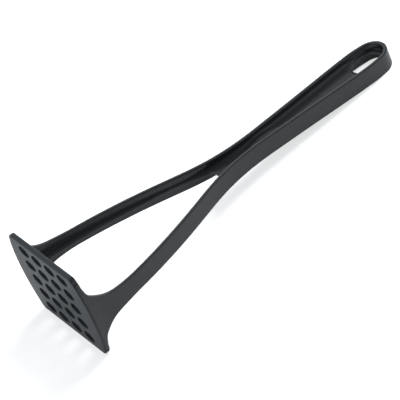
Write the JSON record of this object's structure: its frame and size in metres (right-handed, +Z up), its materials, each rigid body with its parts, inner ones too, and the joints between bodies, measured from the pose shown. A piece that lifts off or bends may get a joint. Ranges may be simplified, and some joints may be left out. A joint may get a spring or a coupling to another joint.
{
  "type": "potato masher",
  "caption": "One-hand potato masher: looped nylon handle with splayed legs, feet spreading over the sides of a bowed flat plate of oval holes, and a hanging eye.",
  "frame": {"origin": "centre of the plate's underside", "axes": "+Z runs up the handle from the plate to the hanging eye, X is the spread of the two legs, Y is the depth of the band"},
  "size_m": [0.0888, 0.064, 0.2737],
  "materials": {
    "nylon_frame": "satin, finely grained",
    "nylon_plate": "satin, finely grained"
  },
  "bodies": {
    "root": {"handle_frame": "nylon_frame", "mashing_plate": "nylon_plate"}
  },
  "joints": []
}
